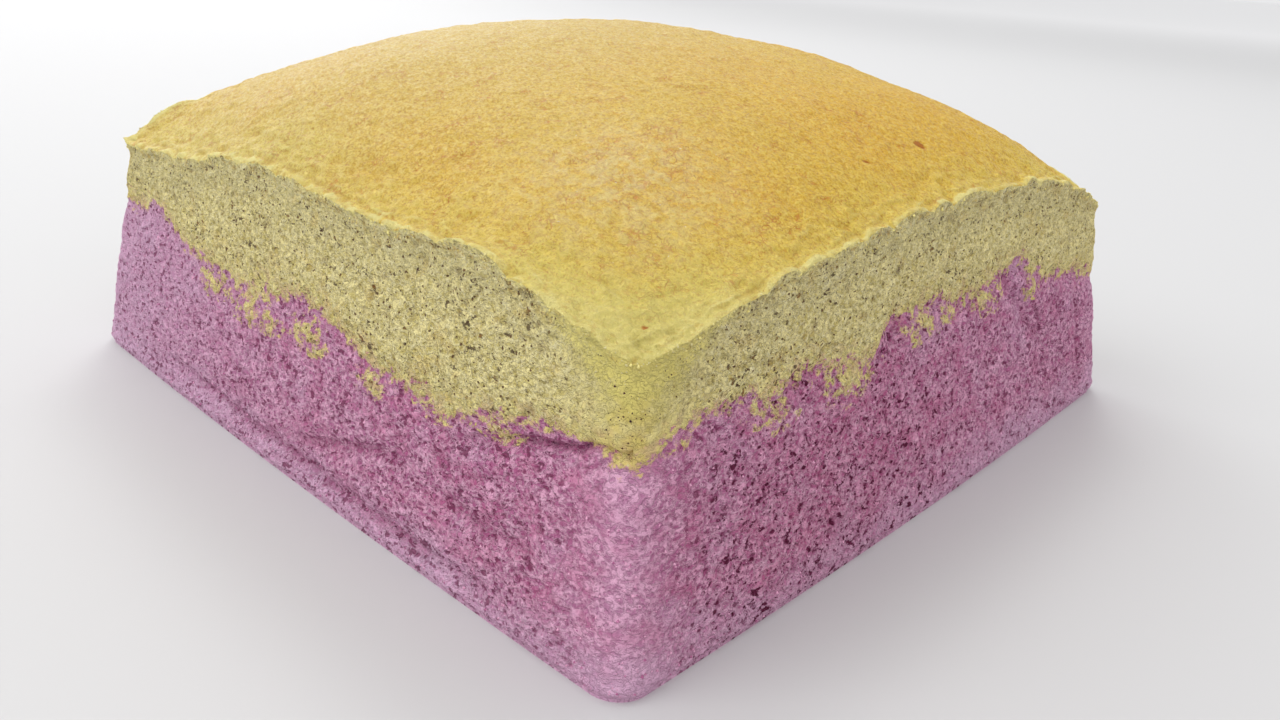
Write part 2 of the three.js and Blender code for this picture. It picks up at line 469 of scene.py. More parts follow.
# Where yellow crumb sticks to the purple wall: (distance along the side, height, radius).
ISLANDS = {
    "front": [(-37, 31.6, 2.0), (-20, 31.4, 2.6), (-11, 30, 1.6), (4, 31.7, 2.2), (28, 29.5, 1.8),
              (47, 31.5, 1.6), (62, 33.6, 1.8)],
    "right": [(-7, 42, 2.6), (-35, 37.6, 3.2), (3.6, 42.6, 1.8), (22, 41.4, 2.4), (-58, 36, 1.6),
              (48, 38.6, 1.8)],
    "back": [(-48, 36.6, 2.2), (-20, 33.4, 2.4), (8, 37, 1.8), (44, 35, 2.6), (66, 33.4, 1.6)],
    "left": [(-62, 38, 2.4), (-33, 36, 1.8), (-8, 35.4, 2.6), (30, 36.4, 2.0), (58, 33.4, 2.2)],
}


def wall_grid():
    """The plain wall from foot to rim, with its waist on a row of its own."""
    u, v = perimeter()
    waist, rim = waist_height(u, v), fine_rim(u, v)
    lower = np.linspace(0, 1, LOWER_ROWS + 1)[:, None] ** FOOT_CROWDING * waist
    upper = mix(rim, waist, np.linspace(1, 0, UPPER_ROWS + 1)[1:, None] ** RIM_CROWDING)
    height = np.concatenate([lower, upper])
    u, v = np.tile(u, (len(height), 1)), np.tile(v, (len(height), 1))
    return surface_points(u, v, height), u, v, waist, rim


def side_of_columns(points):
    """Each side's columns of the wall, with the distance along that side."""
    for k, side in enumerate(SIDES):
        columns = slice(k * WALL_CELLS, (k + 1) * WALL_CELLS)
        yield side, columns, points[:, columns, k % 2]


def layer_line(points, above_waist, smooth_edge):
    """Millimetres above the ragged line where the layers' colours meet."""
    ragged = noises(points, (1.6, 8, 61), (1.8, 3.4, 62), (1.3, 1.6, 63))
    line = above_waist + ragged * (1 - 0.6 * smooth_edge)
    torn = noises(points, (0.8, 2.6, 64), (0.6, 1.2, 65))
    for side, columns, along in side_of_columns(points):
        for place, height, radius in ISLANDS[side]:
            away = np.hypot((along - place) / 1.9, (points[:, columns, 2] - height) * 1.1)
            island = 0.5 * (radius - away) + torn[:, columns]
            island = np.where(away < 2.2 * radius, island, -9)
            line[:, columns] = np.maximum(line[:, columns], island)
    return line


def fine_folds(points):
    """Narrow folds in the walls, sharper than the solids' creases."""
    depth = np.zeros(points.shape[:-1])
    wobble = noises(points, (0.8, 6, 66), (0.5, 2.2, 67))
    for side, columns, along in side_of_columns(points):
        height = points[:, columns, 2] + wobble[:, columns]
        for places, fold_depth, width in FOLDS[side]:
            ends = [np.hypot(along - x, height - z) for x, z in (places[0], places[-1])]
            length = np.hypot(*np.subtract(places[-1], places[0]))
            tapered = fold_depth * np.clip(0.3 + np.minimum(*ends) / (0.25 * length), 0, 1)
            for start, end in zip(places[:-1], places[1:]):
                line = tapered * fade(distance_to_line(along, height, start, end), width)
                depth[:, columns] = np.maximum(depth[:, columns], line)
    return depth


def across_slope(above_waist, points, waist):
    """Heights over the waist, measured square to its slope."""
    step = np.linalg.norm(np.roll(points[0], -1, 0) - np.roll(points[0], 1, 0), axis=-1)
    return above_waist / np.hypot(1, (np.roll(waist, -1) - np.roll(waist, 1)) / step)


def wall_pores(squashed, height, below_rim, smooth_edge, yellow):
    """How deep the crumb's open pores are, shaken out of round."""
    shaken = squashed + np.stack([0.5 * noise(squashed, 1.3, 34 + axis) for axis in range(3)], -1)
    pores = np.max([pore_depth(shaken, **kind) for kind in PORES], 0)
    pores = pores * (1 - 0.75 * smooth_edge) * np.clip(below_rim / 2.5, 0, 1) * (1 - 0.6 * yellow)
    return pores * np.clip(height / 1.2, 0, 1)


def wall_detail(points, u, v, waist, rim):
    """Displaces the wall and notes, for each point, what its colour needs."""
    height = points[..., 2]
    below_rim = rim - height
    smooth_edge = fade((1 - np.abs(u * v)) * RIM_HALF, 8)
    line = layer_line(points, across_slope(height - waist, points, waist), smooth_edge)
    yellow = np.clip(line + 0.5, 0, 1)
    squashed = points * np.array(CRUMB_SQUASH)
    pores = wall_pores(squashed, height, below_rim, smooth_edge, yellow)
    pleats = 0.2 * noise(points * np.array([1, 1, 0.22]), 5, 44)
    lumps = noises(points, (0.25, 9, 41), (0.16, 3.2, 42)) + pleats
    grain = noises(squashed, (0.24, 2.1, 43), (0.26, 1.2, 45)) * (1 - 0.4 * smooth_edge)
    folds = fine_folds(points)
    undercut = UNDERCUT_DEPTH * fade(below_rim - UNDERCUT_PLACE, UNDERCUT_WIDTH)
    undercut = undercut * np.clip(0.6 + noise(points, 5, 46), 0, 1)
    settle = np.clip(height / FOOT_SETTLES_WITHIN, 0, 1)
    push = (lumps + grain + YELLOW_SWELL * yellow - SURFACE_DROP) * settle
    push = push - PORE_SHARE * pores - folds - undercut
    lip = all_crests(u, v, below_rim) + rim_flakes(points, u, v, below_rim)
    moved = grow(points, grid_normals(points, wrap=True), push, lip, u, v, below_rim)
    moved[0] = points[0]
    facts = {
        "layer_line": line, "below_rim": below_rim, "pore": np.clip(pores / 0.8, 0, 1),
        "fold": np.clip(folds, 0, 1), "corner": smooth_edge, "grain": grain,
        "front_corner": near_place(u, v, FRONT_CORNER, 18),
        # pale: painted haze over the left end of the walls
        "pale": near_place(u, v, PAINTED_HAZE_PLACE, 70),
        # deep: painted shade on the right wall's front part, where its pits are also darker
        "deep": fade(np.hypot(np.hypot(u - 1, (v + 0.4) / 1.3) * RIM_HALF, height - 18), 30),
    }
    return moved, facts


# ---- crust

# Where the crust's skin has split: (x, y) of both ends, depth and half width.
CRUST_SPLITS = [
    ((74.7, 14.0), (75.5, 13.5), 0.8, 1.0),
    ((75.4, -9.6), (76.0, -9.0), 0.4, 0.5),
    ((85.0, -83.5), (85.0, -83.2), 0.3, 0.5),
]
# Deeper amber parts of the crust, and the spots of painted haze and of a painted sheen with glints:
# (x, y, radius).
BROWN_PATCHES = [(64, 0, 26), (66, -46, 16), (60, 34, 22), (10, 60, 24), (-50, 40, 26)]
PAINTED_HAZE_SPOT = (-50, -20, 75)
PAINTED_SHEEN_SPOT = (58, -62, 22)
PIT_SHARE = 0.5  # of a pit's depth
CRUST_PITS = dict(spacing=5.6, radii=(0.25, 0.7), chance=0.3, seed=71)


def crust_grid():
    places = side_places()[::2]
    u, v = np.meshgrid(places, places)
    points = surface_points(u, v, fine_rim(u, v))
    points[..., 2] += dome_height(u, v)
    return points, u, v


def parallel_wrinkles(u, v):
    """Fine wrinkles that follow the rim, over the nearest centimetre or so."""
    total = np.zeros(u.shape)
    for side, (inside, along) in side_distances(u, v).items():
        across = inside + 1.4 * line_noise(side, along, 7, 86)
        place = np.stack([along / 2.6, across, np.full(u.shape, 40 * SIDES.index(side))], -1)
        total += noises(place, (0.3, 1.4, 87), (0.3, 0.8, 88)) * fade(inside - 2, 13)
    return total


def round_spot(points, x, y, radius):
    """1 at a place of the crust, fading to nothing round it."""
    return fade(np.hypot(points[..., 0] - x, points[..., 1] - y), radius)


def baked(points):
    """How brown the crust is, in a few broad patches."""
    return np.max([round_spot(points, *patch) for patch in BROWN_PATCHES], axis=0)


def crust_detail(points, u, v):
    """Leathery skin: a fine grain, pits and splits, and folds that follow the rim."""
    inside = np.min([distance for distance, along in side_distances(u, v).values()], axis=0)
    wrinkles = parallel_wrinkles(u, v)
    pits = pore_depth(points, **CRUST_PITS)
    push = noises(points, (0.5, 21, 83), (0.2, 3.1, 81), (0.24, 1.6, 82))
    push = push + wrinkles - SURFACE_DROP
    split = np.zeros(u.shape)
    x, y = points[..., 0], points[..., 1] + 0.6 * noise(points, 1.8, 89)
    for start, end, depth, width in CRUST_SPLITS:
        shape = fade(distance_to_line(x, y, start, end), width)
        push = push - depth * shape
        split = np.maximum(split, shape)
    push = push - PIT_SHARE * pits
    lip = all_crests(u, v, np.zeros_like(u)) + rim_flakes(points, u, v, inside)
    moved = grow(points, grid_normals(points, wrap=False), push, lip, u, v, inside)
    facts = {
        "inside_rim": inside, "split": split, "pit": np.clip(pits / 0.5, 0, 1),
        "wrinkle": wrinkles, "crest": lip, "baked": baked(points),
        "front_corner": near_place(u, v, FRONT_CORNER, 22),
        # pale and gloss: where painted haze and a painted sheen with glints lie
        "pale": round_spot(points, *PAINTED_HAZE_SPOT), "gloss": round_spot(points, *PAINTED_SHEEN_SPOT),
    }
    return moved, facts


# ---- meshes

def new_object(name, data):
    item = bpy.data.objects.new(name, data)
    bpy.context.scene.collection.objects.link(item)
    return item


def new_mesh(name, points, corners, sizes, facts):
    """A smooth mesh of points in millimetres, each face's corners and size, and points' facts."""
    mesh = bpy.data.meshes.new(name)
    mesh.vertices.add(len(points))
    mesh.vertices.foreach_set("co", (points * MM).astype(np.float32).ravel())
    mesh.loops.add(len(corners))
    mesh.loops.foreach_set("vertex_index", corners.astype(np.int32))
    mesh.polygons.add(len(sizes))
    mesh.polygons.foreach_set("loop_start", (np.cumsum(sizes) - sizes).astype(np.int32))
    mesh.polygons.foreach_set("use_smooth", np.ones(len(sizes), bool))
    mesh.update(calc_edges=True)
    for fact, values in facts.items():
        layer = mesh.attributes.new(fact, "FLOAT", "POINT")
        layer.data.foreach_set("value", values.astype(np.float32))
    return mesh


def finish_piece(piece, material, slot, *nodes):
    piece.data.materials.append(material)
    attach(piece, "root")
    if nodes:
        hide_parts(*nodes)


def facts_at(facts, place):
    return {fact: values[place] for fact, values in facts.items()}


def in_area(area, plan):
    """A place of the unit plan within a square area (left, bottom, size) of the flat layout."""
    left, bottom, size = area
    return np.array([left, bottom]) + size * (plan + 1) / 2


class Shell:
    """A closed mesh gathered from grids, each with its own place in the flat layout."""

    def __init__(self):
        self.points, self.facts, self.faces, self.layout = [], [], [], []
        self.count = 0

    def add_points(self, points, facts=None):
        """Adds a grid of points and gives their numbers back, in the same grid."""
        facts = facts or dict.fromkeys(self.facts[0], 0.0)
        shape = points.shape[:-1]
        size = int(np.prod(shape))
        self.points.append(points.reshape(size, 3))
        self.facts.append({fact: np.broadcast_to(v, shape).ravel() for fact, v in facts.items()})
        index = self.count + np.arange(size).reshape(shape)
        self.count += size
        return index

    def add_grid(self, index, plan, area):
        """Adds the quads of a grid of point numbers; plan and area place them in the layout."""
        for grid, kept in ((index, self.faces), (in_area(area, plan), self.layout)):
            corners = (grid[:-1, :-1], grid[:-1, 1:], grid[1:, 1:], grid[1:, :-1])
            kept.append(np.stack(corners, 2).reshape(-1, 4, *grid.shape[2:]))

    def add_fan(self, row, middle, plan, middle_plan, area):
        """Joins a row of point numbers to one point, counter-clockwise."""
        self.faces.append(np.stack([row[:-1], row[1:], np.full(len(row) - 1, middle)], -1))
        apex = np.broadcast_to(middle_plan, plan[1:].shape)
        self.layout.append(in_area(area, np.stack([plan[:-1], plan[1:], apex], 1)))

    def build(self, name, normals):
        """The mesh object; normals are the shading normals of the first points added."""
        corners = np.concatenate([f.ravel() for f in self.faces])
        sizes = np.concatenate([np.full(len(f), f.shape[1]) for f in self.faces])
        facts = {fact: np.concatenate([f[fact] for f in self.facts]) for fact in self.facts[0]}
        mesh = new_mesh(name, np.concatenate(self.points), corners, sizes, facts)
        flat = np.concatenate([f.reshape(-1, 2) for f in self.layout])
        layer = mesh.uv_layers.new(name="OFBake")
        layer.uv.foreach_set("vector", flat.astype(np.float32).ravel())
        shading = np.zeros(self.count * 3, np.float32)
        mesh.vertices.foreach_get("normal", shading)
        shading = shading.reshape(-1, 3)
        shading[: len(normals)] = normals
        mesh.normals_split_custom_set_from_vertices(shading)
        return new_object(name, mesh)


def under_rim(u, v):
    return fine_rim(u, v) - RIM_SINK


CENTRE = np.zeros((2, 1))  # of the plan
INNER_RING = 0.98  # of the plan's width, where the surface under the rim turns flat
RIM_SINK = 4
# Each part's square area of the flat layout: (left, bottom, size).
WALL_AREA = (0.01, 0.01, 0.98)
FLOOR_AREA = (0.01, 0.30, 0.33)
ROOF_AREA = (0.35, 0.30, 0.33)
END_AREAS = ((0.70, 0.30, 0.14), (0.85, 0.30, 0.14))
CRUST_AREA = (0.01, 0.01, 0.88)
UNDER_AREA = (0.90, 0.90, 0.09)


def wedge(name, wall, wall_normals, facts, k, roof_height, roof_ring):
    """One side's wall of a layer, closed by a floor, a roof and two faces that meet in the middle.

    roof_ring is how far out the roof's flat part reaches, or nothing where all of it is flat.
    """
    shell = Shell()
    columns = np.arange(k * WALL_CELLS, (k + 1) * WALL_CELLS + 1) % wall.shape[1]
    index = shell.add_points(wall[:, columns], facts_at(facts, (slice(None), columns)))
    up = 2 * np.linspace(0, 1, len(index)) * np.ptp(wall[..., 2]) / FOOT_WIDTH - 1
    shell.add_grid(index, np.stack(np.meshgrid(side_places(), up), -1), WALL_AREA)

    u, v = perimeter()
    u, v = u[columns], v[columns]
    plan = np.stack([u, v], -1)
    floor_middle = shell.add_points(np.array([[0, 0, wall[0, columns, 2].mean()]]))[0]
    roof_middle = shell.add_points(surface_points(*CENTRE, roof_height(*CENTRE)))[0]
    shell.add_fan(index[0, ::-1], floor_middle, plan[::-1], (0, 0), FLOOR_AREA)
    edge = index[-1]
    if roof_ring:
        ring = u * roof_ring, v * roof_ring
        inner = shell.add_points(surface_points(*ring, roof_height(*ring)))
        shell.add_grid(np.stack([edge, inner]), np.stack([plan, plan * roof_ring]), ROOF_AREA)
        edge, plan = inner, plan * roof_ring
    shell.add_fan(edge, roof_middle, plan, (0, 0), ROOF_AREA)
    for column, area, step in zip((0, -1), END_AREAS, (1, -1)):
        inner = [edge[column]] if roof_ring else []
        face = np.concatenate([index[:, column], inner, [roof_middle]]).astype(int)
        plan = np.stack([np.ones(len(face)), np.linspace(-1, 1, len(face))], -1)
        plan[-1, 0] = -1
        shell.add_fan(face[::step], floor_middle, plan[::step], (-1, -1), area)
    return shell.build(name, wall_normals[:, columns].reshape(-1, 3))


def ring_of(size):
    """The numbers of a square grid's edge, counter-clockwise from its first corner."""
    index = np.arange(size * size).reshape(size, size)
    return np.concatenate([index[0, :-1], index[:-1, -1], index[-1, :0:-1], index[:0:-1, 0]])


# ---- materials

def linear(red, green, blue):
    """A colour given as 0 to 255 on screen, as Blender's linear colour."""
    value = np.array([red, green, blue]) / 255
    value = np.where(value <= 0.04045, value / 12.92, ((value + 0.055) / 1.055) ** 2.4)
    return (*value, 1)


class Shader:
    """A material's node tree, with a short method for each kind of node."""

    def __init__(self, name, squash=(1, 1, 1)):
        self.material = bpy.data.materials.new(name)
        self.material.use_nodes = True
        self.tree = self.material.node_tree
        self.true_place = self.node("TexCoord")["Object"]
        self.place = self.vector("MULTIPLY", self.true_place, squash)

    def put(self, socket, value):
        if isinstance(value, bpy.types.NodeSocket):
            self.tree.links.new(value, socket)
        else:
            socket.default_value = value

    def node(self, kind, inputs=(), **settings):
        """Adds a node and gives its outputs back."""
        node = self.tree.nodes.new("ShaderNode" + kind)
        for key, value in settings.items():
            setattr(node, key, value)
        for key, value in dict(inputs).items():
            self.put(node.inputs[key], value)
        return node.outputs

    def fact(self, name, *ramp):
        """A fact of the mesh's points, or a ramp of it."""
        value = self.node("Attribute", attribute_name=name)["Fac"]
        return self.ramp(value, *ramp) if ramp else value

    def vector(self, operation, a, b):
        inputs = {0: a, "Scale" if operation == "SCALE" else 1: b}
        return self.node("VectorMath", inputs, operation=operation)[0]

    def warped(self, place, size, amount):
        """The place, shaken by noise of some size, by up to some amount either way."""
        inputs = {"Vector": place, "Scale": 1 / (size * MM), "Detail": 1}
        shake = self.node("TexNoise", inputs)["Color"]
        centred = self.vector("SUBTRACT", shake, (0.5, 0.5, 0.5))
        return self.vector("ADD", place, self.vector("SCALE", centred, amount * MM * 2))

    def noise(self, size, detail=2.0, roughness=0.5, place=None):
        inputs = {"Vector": place or self.place, "Scale": 1 / (size * MM), "Detail": detail}
        return self.node("TexNoise", {**inputs, "Roughness": roughness})["Fac"]

    def math(self, operation, a, b=0.0):
        return self.node("Math", {0: a, 1: b}, operation=operation)[0]

    times = partialmethod(math, "MULTIPLY")
    plus = partialmethod(math, "ADD")
    minus = partialmethod(math, "SUBTRACT")
    most = partialmethod(math, "MAXIMUM")

    def ramp(self, value, low, high, start=0.0, end=1.0):
        """From start to end, smoothly, while the value goes from low to high."""
        inputs = {"Value": value, "From Min": low, "From Max": high, "To Min": start, "To Max": end}
        return self.node("MapRange", inputs, interpolation_type="SMOOTHSTEP")["Result"]

    def mix(self, share, a, b):
        return self.node("Mix", {0: share, 6: a, 7: b}, data_type="RGBA")[2]

    def tint(self, other, *shares):
        """Mixes another colour into the one so far, by the product of the shares."""
        self.colour = self.mix(reduce(self.times, shares), self.colour, other)

    def hollows(self, size, level, softness):
        """Ragged holes: 1 wherever a noise of some size is lowest and 0 above a level."""
        return self.ramp(self.noise(size, 3.0, 0.65), level - softness, level, 1, 0)

    def ridges(self, size, width):
        """Thin curly lines: 1 along the middle level of a noise of some size."""
        return self.ramp(self.math("ABSOLUTE", self.minus(self.noise(size), 0.5)), 0, width, 1, 0)

    def pores(self, size, low, high, chance):
        """Round holes: 1 in the middle of each chosen cell and 0 outside its hole."""
        inputs = {"Vector": self.warped(self.place, 1.1, 0.6), "Scale": 1 / (size * MM)}
        cell = self.node("TexVoronoi", inputs)
        number = self.node("SeparateColor", {0: cell["Color"]})[0]
        chosen = self.ramp(number, 1 - chance - 0.05, 1 - chance + 0.05)
        return self.times(self.ramp(cell["Distance"], low, high, 1, 0), chosen)

    def finish(self, roughness, specular, relief, depth):
        """Gives the surface its colour, its gloss and its fine relief, so many millimetres deep."""
        bump = self.node("Bump", {"Height": relief, "Distance": depth * MM})["Normal"]
        looks = {"Base Color": self.colour, "Roughness": roughness, "Specular IOR Level": specular}
        for name, value in {**looks, "Normal": bump}.items():
            self.put(self.tree.nodes["Principled BSDF"].inputs[name], value)
        return self.material


CRUMB_ROUGHNESS = 0.92
CRUMB_SPECULAR = 0.2
CRUST_SPECULAR = 0.36

PURPLE_LIGHT = linear(242, 182, 212)
PURPLE_DEEP = linear(176, 100, 142)
PURPLE_ROSE = linear(202, 110, 152)
# painted shade in the purple crumb's pits
PURPLE_PORE_SHADE = linear(90, 18, 52)
# painted shade on the right wall's front part
PURPLE_SIDE_SHADE = linear(172, 54, 96)
# painted shade of the purple crumb's folds, pores and hollows
PURPLE_SHADE = linear(158, 70, 114)
# painted highlight of the purple crumb
PURPLE_GLEAM = linear(246, 212, 230)
LAVENDER = linear(230, 190, 220)
YELLOW_LIGHT = linear(254, 240, 170)
YELLOW_DEEP = linear(206, 190, 115)
# painted shade in the yellow crumb's pits and hollows, and the dark flecks' colour
YELLOW_PORE_SHADE_AND_FLECK = linear(100, 62, 42)
YELLOW_WARM = linear(240, 224, 134)
YELLOW_GREY = linear(218, 207, 150)
# painted highlight of the yellow crumb
YELLOW_GLEAM = linear(255, 250, 214)
SKIN = linear(220, 206, 112)
BLUSH = linear(220, 172, 156)
# stains, and painted shade in the valleys of the crust's folds
STAIN_AND_FOLD_SHADE = linear(206, 166, 74)
OCHRE = linear(218, 180, 88)
FLECK = linear(62, 40, 44)
RUST = linear(124, 72, 28)
LIP = linear(249, 236, 152)
CRUST_GOLD = linear(232, 190, 48)
CRUST_AMBER = linear(242, 180, 14)
CRUST_PALE = linear(234, 214, 90)
# painted shade of the crust's grain and wrinkles
CRUST_PAINTED_SHADE = linear(204, 146, 30)
# painted highlight of the crust's grain and wrinkles
CRUST_PAINTED_HIGHLIGHT = linear(248, 215, 90)
# painted sheen and its haze on the crust
CRUST_PAINTED_SHEEN = linear(246, 229, 170)
SPLIT = linear(184, 104, 16)
CRACK = linear(214, 126, 8)
# painted glints
PAINTED_GLINT = linear(255, 246, 220)


def calm_corners(s):
    """1 on the open walls, less where the upright edges' crumb is smoother."""
    edges = s.fact("corner", 0.2, 1, 1, 0.35)
    return s.times(edges, s.fact("front_corner", 0.15, 1, 1, 0.35))


def purple_colour(s):
    """Mottled purple crumb with painted shade in its pores and folds, and where its fine pores are.
    """
    tone = s.ramp(s.noise(1.3, 4, 0.7), 0.37, 0.6)
    s.colour = s.mix(tone, PURPLE_DEEP, PURPLE_LIGHT)
    s.tint(PURPLE_ROSE, s.ramp(s.noise(6, 3), 0.45, 0.66, 0, 0.5))
    s.tint(LAVENDER, s.ramp(s.noise(16, 3), 0.5, 0.7, 0, 0.3))
    height = s.node("SeparateXYZ", {0: s.true_place})["Z"]
    foot = s.plus(height, s.times(s.noise(14), -0.012))
    s.tint(LAVENDER, s.ramp(foot, -0.004, 0.006, 0.6, 0))
    # painted haze: lavender over the left end of the walls
    s.tint(LAVENDER, s.fact("pale"), 0.7)
    # painted shade on the right wall's front part
    s.tint(PURPLE_SIDE_SHADE, s.fact("deep"), 0.25)
    # painted light on the upright corners, where they catch the lamps
    s.tint(LAVENDER, s.fact("corner"), 0.25)
    tiny = s.most(s.pores(1.3, 0.08, 0.3, 0.6), s.hollows(1.2, 0.4, 0.06))
    large = s.most(s.hollows(2.4, 0.42, 0.08), s.pores(3, 0.1, 0.28, 0.5))
    hole = s.most(large, s.times(tiny, 0.8))
    hole = s.times(hole, calm_corners(s))
    hole = s.most(hole, s.fact("pore"))
    # painted shade in the folds
    s.tint(PURPLE_SHADE, s.fact("fold"), 0.65)
    # painted shade in the pores and hollows
    s.tint(PURPLE_SHADE, s.ramp(hole, 0.05, 0.6, 0, 0.55))
    crisp = s.most(s.pores(2.3, 0.2, 0.26, 0.3), s.hollows(2.2, 0.37, 0.012))
    crisp = s.times(crisp, s.fact("deep", 0.05, 0.5, 0, 0.75))
    hole = s.most(hole, crisp)
    # deeper painted shade in the pits, strongest on the right wall's front part
    s.tint(PURPLE_PORE_SHADE, s.ramp(hole, 0.45, 0.95), s.fact("deep", 0, 0.5, 0.5, 1))
    return s.colour, hole


def draped_skin(s):
    """The crust's skin where it hangs over the wall's top, most of all at the front corner."""
    reach = s.times(s.fact("front_corner"), s.times(s.noise(4, 4, 0.7), 26))
    corner_edge = s.minus(s.fact("below_rim"), reach)
    s.tint(SKIN, s.ramp(corner_edge, -8, 1, 0.65, 0))
    s.tint(STAIN_AND_FOLD_SHADE, s.ramp(s.noise(1.7, 4, 0.7), 0.54, 0.6), s.fact("below_rim", 0.5, 4, 1, 0), 0.55)
    edge = s.minus(s.fact("below_rim"), s.times(s.noise(1.8, 4, 0.7), 4.4))
    draped = s.times(s.fact("front_corner", 0.1, 0.9), s.noise(4, 4, 0.6))
    edge = s.minus(edge, s.times(draped, 10))
    lip_colour = s.mix(s.fact("front_corner", 0.2, 0.9, 0, 0.75), LIP, SKIN)
    skin = s.ramp(edge, -2.3, -1.4, 0.9, 0)
    s.tint(lip_colour, skin, s.ramp(s.noise(4.5, 3), 0.42, 0.56, 0.5, 1))


def yellow_colour(s):
    """Pale yellow crumb with dark flecks in clusters and painted shade in its pits, and where its
    fine pores are.
    """
    calm = calm_corners(s)
    tone = s.ramp(s.noise(1.3, 4, 0.72), 0.36, 0.56)
    tone = s.plus(s.times(s.minus(tone, 0.5), calm), 0.5)
    s.colour = s.mix(tone, YELLOW_DEEP, YELLOW_LIGHT)
    high = s.minus(s.fact("below_rim"), s.times(s.noise(9), 14))
    s.tint(YELLOW_GREY, s.ramp(high, -6, 6, 0.5, 0))
    s.tint(OCHRE, s.ramp(s.noise(7, 3), 0.56, 0.7, 0, 0.3))
    s.tint(YELLOW_WARM, s.fact("layer_line", 0, 6, 0.5, 0))
    s.tint(OCHRE, s.fact("layer_line", 0, 2.2, 0.15, 0))
    s.tint(BLUSH, s.fact("layer_line", 0.5, 6, 1, 0), s.ramp(s.noise(3, 3), 0.45, 0.6), 0.4)
    edge_strip = s.times(s.fact("corner"), s.noise(4))
    s.tint(OCHRE, s.ramp(edge_strip, 0.3, 0.6, 0, 0.4))
    # painted shade in small pits
    specks = s.times(s.pores(1.5, 0.12, 0.24, 0.7), calm)
    s.tint(YELLOW_PORE_SHADE_AND_FLECK, specks, 0.9)
    cluster = s.ramp(s.noise(9), 0.44, 0.58, 0.08, 1)
    fleck = s.most(s.hollows(1.8, 0.385, 0.02), s.pores(2.6, 0.13, 0.22, 0.45))
    fleck = s.times(s.times(fleck, cluster), calm)
    s.tint(s.mix(s.ramp(s.noise(3.5), 0.52, 0.6), FLECK, RUST), fleck, 0.8)
    # painted shade in the mesh's pores
    s.tint(YELLOW_PORE_SHADE_AND_FLECK, s.fact("pore", 0.1, 0.9, 0, 0.6))
    draped_skin(s)
    return s.colour, s.most(specks, fleck)


def crumb_material(name):
    """Porous sponge: purple below the ragged line where the layers meet and yellow above it, with
    painted highlight on its grain and crumb walls and painted shade in their hollows.
    """
    s = Shader(name, CRUMB_SQUASH)
    purple, purple_hole = purple_colour(s)
    yellow, yellow_hole = yellow_colour(s)
    wander = s.times(s.minus(s.noise(2.6, 5, 0.7), 0.5), 13)
    above = s.plus(s.fact("layer_line"), wander)
    is_yellow = s.ramp(above, -0.3, 0.3)
    s.colour = s.mix(is_yellow, purple, yellow)
    torn = s.ramp(s.math("ABSOLUTE", above), 0, 1.2, 0.7, 0)
    s.tint(BLUSH, torn, s.ramp(s.noise(1.2, 3), 0.36, 0.56))
    walls = s.most(s.ridges(2.2, 0.04), s.times(s.ridges(1.3, 0.045), 0.7))
    # painted shade and painted highlight colours for either crumb
    shade = s.mix(is_yellow, PURPLE_SHADE, YELLOW_PORE_SHADE_AND_FLECK)
    gleam = s.mix(is_yellow, PURPLE_GLEAM, YELLOW_GLEAM)
    hole = s.most(purple_hole, yellow_hole)
    calm = calm_corners(s)
    # painted shade: fine spots and the grain's hollows
    dark = s.ramp(s.noise(0.5, 2, 0.7), 0.36, 0.54, 0.35, 0)
    dark = s.plus(dark, s.fact("grain", -0.05, -0.35, 0, 0.3))
    # painted highlight on the grain's tops and the crumb's thin ridges, kept out of the holes
    light = s.plus(s.fact("grain", 0.1, 0.4, 0, 0.2), s.times(walls, 0.3))
    s.tint(shade, dark, calm)
    light = s.times(s.times(light, calm), s.ramp(hole, 0.1, 0.6, 1, 0))
    s.tint(gleam, light)
    height = s.minus(s.times(s.noise(1.3, 5, 0.75), 1.6), hole)
    height = s.plus(height, s.times(walls, 0.5))
    return s.finish(CRUMB_ROUGHNESS, CRUMB_SPECULAR, height, 0.5)


